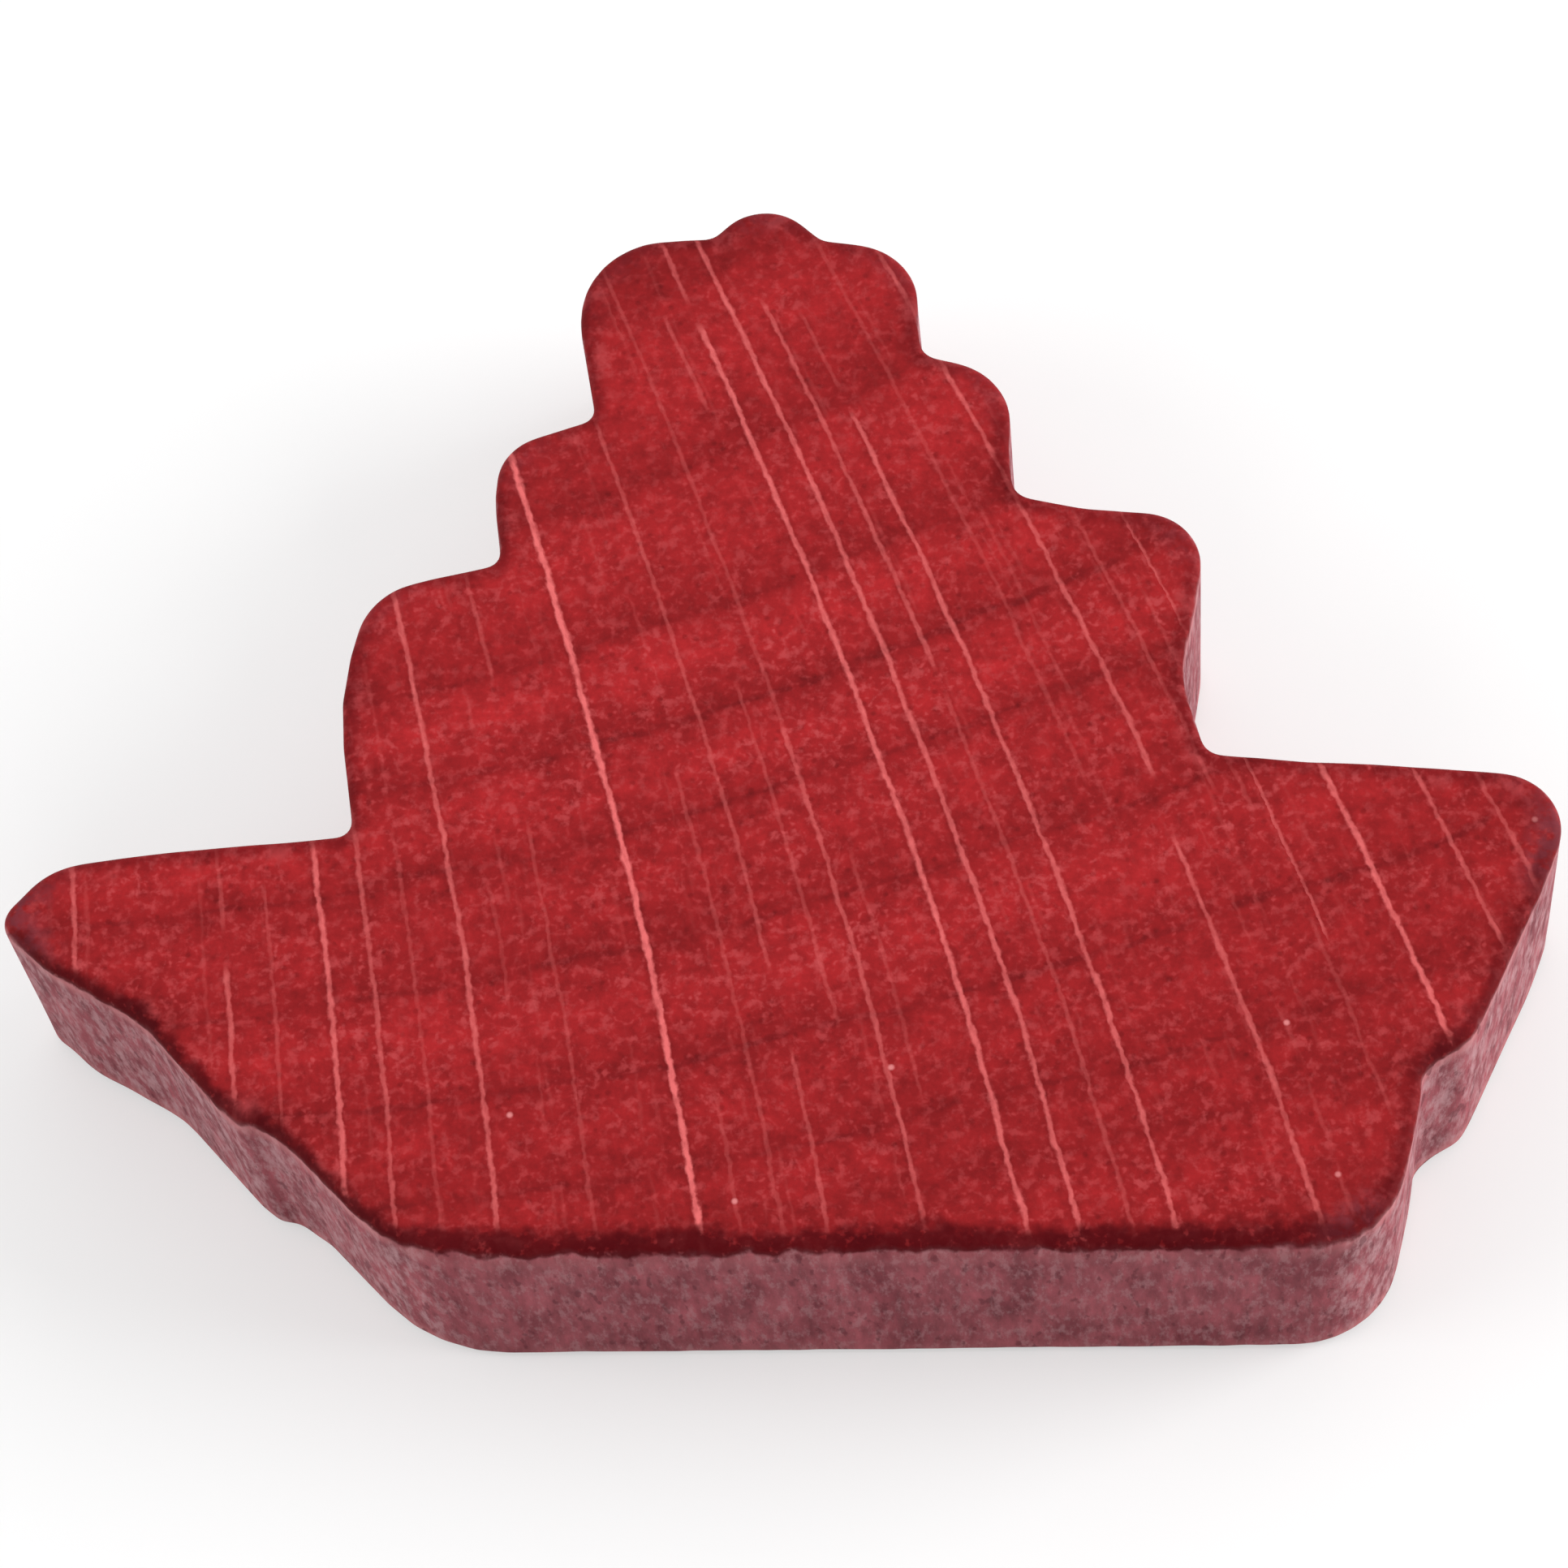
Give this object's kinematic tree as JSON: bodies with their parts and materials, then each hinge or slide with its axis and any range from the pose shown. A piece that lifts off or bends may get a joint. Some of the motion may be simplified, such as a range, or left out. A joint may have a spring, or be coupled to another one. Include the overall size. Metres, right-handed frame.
{
  "type": "game piece",
  "caption": "Flat wooden game piece in the outline of a sailing ship: a dyed end-grain slice with a raked hull, stepped billowing sails and a small masthead; lies flat or stands on its keel.",
  "frame": {"origin": "middle of the back face's plane under the centre of the overall box, where the piece rests when it lies flat", "axes": "+X from the bow to the stern, +Y from the keel to the masthead, +Z out of the front face, through the slice and along the wood's grain"},
  "size_m": [0.04, 0.0306, 0.007],
  "materials": {
    "dyed_wood": "red dye soaked into bare wood, satin, darker along the tumbled edges"
  },
  "bodies": {
    "root": {"ship": "dyed_wood"}
  },
  "joints": []
}
